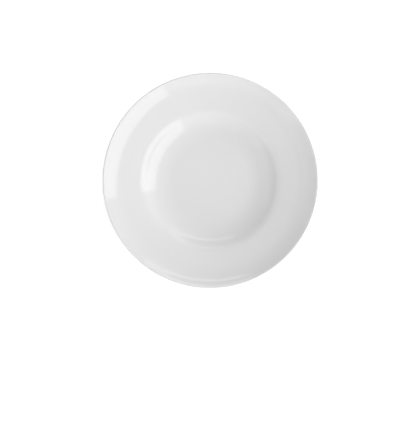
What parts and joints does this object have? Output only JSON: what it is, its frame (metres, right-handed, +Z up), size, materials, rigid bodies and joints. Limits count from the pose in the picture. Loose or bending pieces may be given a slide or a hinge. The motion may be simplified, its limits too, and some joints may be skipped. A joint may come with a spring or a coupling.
{
  "type": "pasta bowl",
  "caption": "Wide-rimmed pasta bowl in white glazed porcelain: a round well in a broad upturned rim with a rounded lip, standing on a bare foot ring.",
  "frame": {"origin": "centre of the foot ring's standing face, on the bowl's axis", "axes": "+Z up along the bowl's axis; X and Y lie in the plane it stands on"},
  "size_m": [0.3, 0.3, 0.056],
  "materials": {
    "porcelain": "bare fired porcelain, matt",
    "glaze": "clear glaze over white porcelain, glossy"
  },
  "bodies": {
    "root": {"porcelain_body": "porcelain", "main_glaze": "glaze", "base_glaze": "glaze"}
  },
  "joints": []
}
